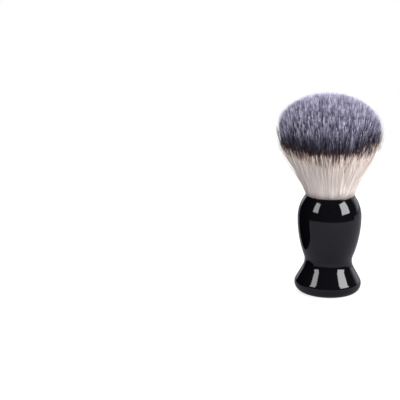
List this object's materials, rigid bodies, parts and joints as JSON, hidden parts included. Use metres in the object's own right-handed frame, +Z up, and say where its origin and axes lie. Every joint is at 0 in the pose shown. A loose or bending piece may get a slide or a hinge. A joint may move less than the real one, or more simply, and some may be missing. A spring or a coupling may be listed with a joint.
{
  "type": "shaving brush",
  "caption": "Standing shaving brush with a waisted glossy handle, a flared weighted foot and a wide domed fibre knot, pale below and dark at the tips.",
  "frame": {"origin": "centre of the ring under the foot that the brush stands on", "axes": "+Z up along the brush, from the foot to the top of the dome of fibres; the brush is round, so +X and +Y are free"},
  "size_m": [0.0584, 0.0584, 0.106],
  "materials": {
    "handle_gloss": "polished black",
    "plated_steel": "zinc plated",
    "cap_plastic": "fine texture",
    "epoxy": "cast, unpolished",
    "ring_plastic": "satin",
    "plug_resin": "cast, unpolished",
    "thread": "waxed twine",
    "fibre_pale": "crimped filament, cream",
    "fibre_dyed": "dyed filament, dark band with grey ends"
  },
  "bodies": {
    "handle": {"handle_body": "handle_gloss", "ballast_slug": "plated_steel", "base_cap": "cap_plastic", "socket_adhesive": "epoxy", "knot_ring": "ring_plastic", "knot_plug": "plug_resin", "binding_thread": "thread", "bristle_roots": "fibre_pale"},
    "bristles": {"bristle_shafts": "fibre_pale", "bristle_tips": "fibre_dyed"}
  },
  "joints": [
    {"name": "bristle_flex", "type": "hinge", "parent": "handle", "child": "bristles", "pos_m": [0, 0, 0.0518], "axis": [0, 1, 0], "range_deg": [-22, 22], "stiffness_Nm_per_rad": 0.1}
  ]
}
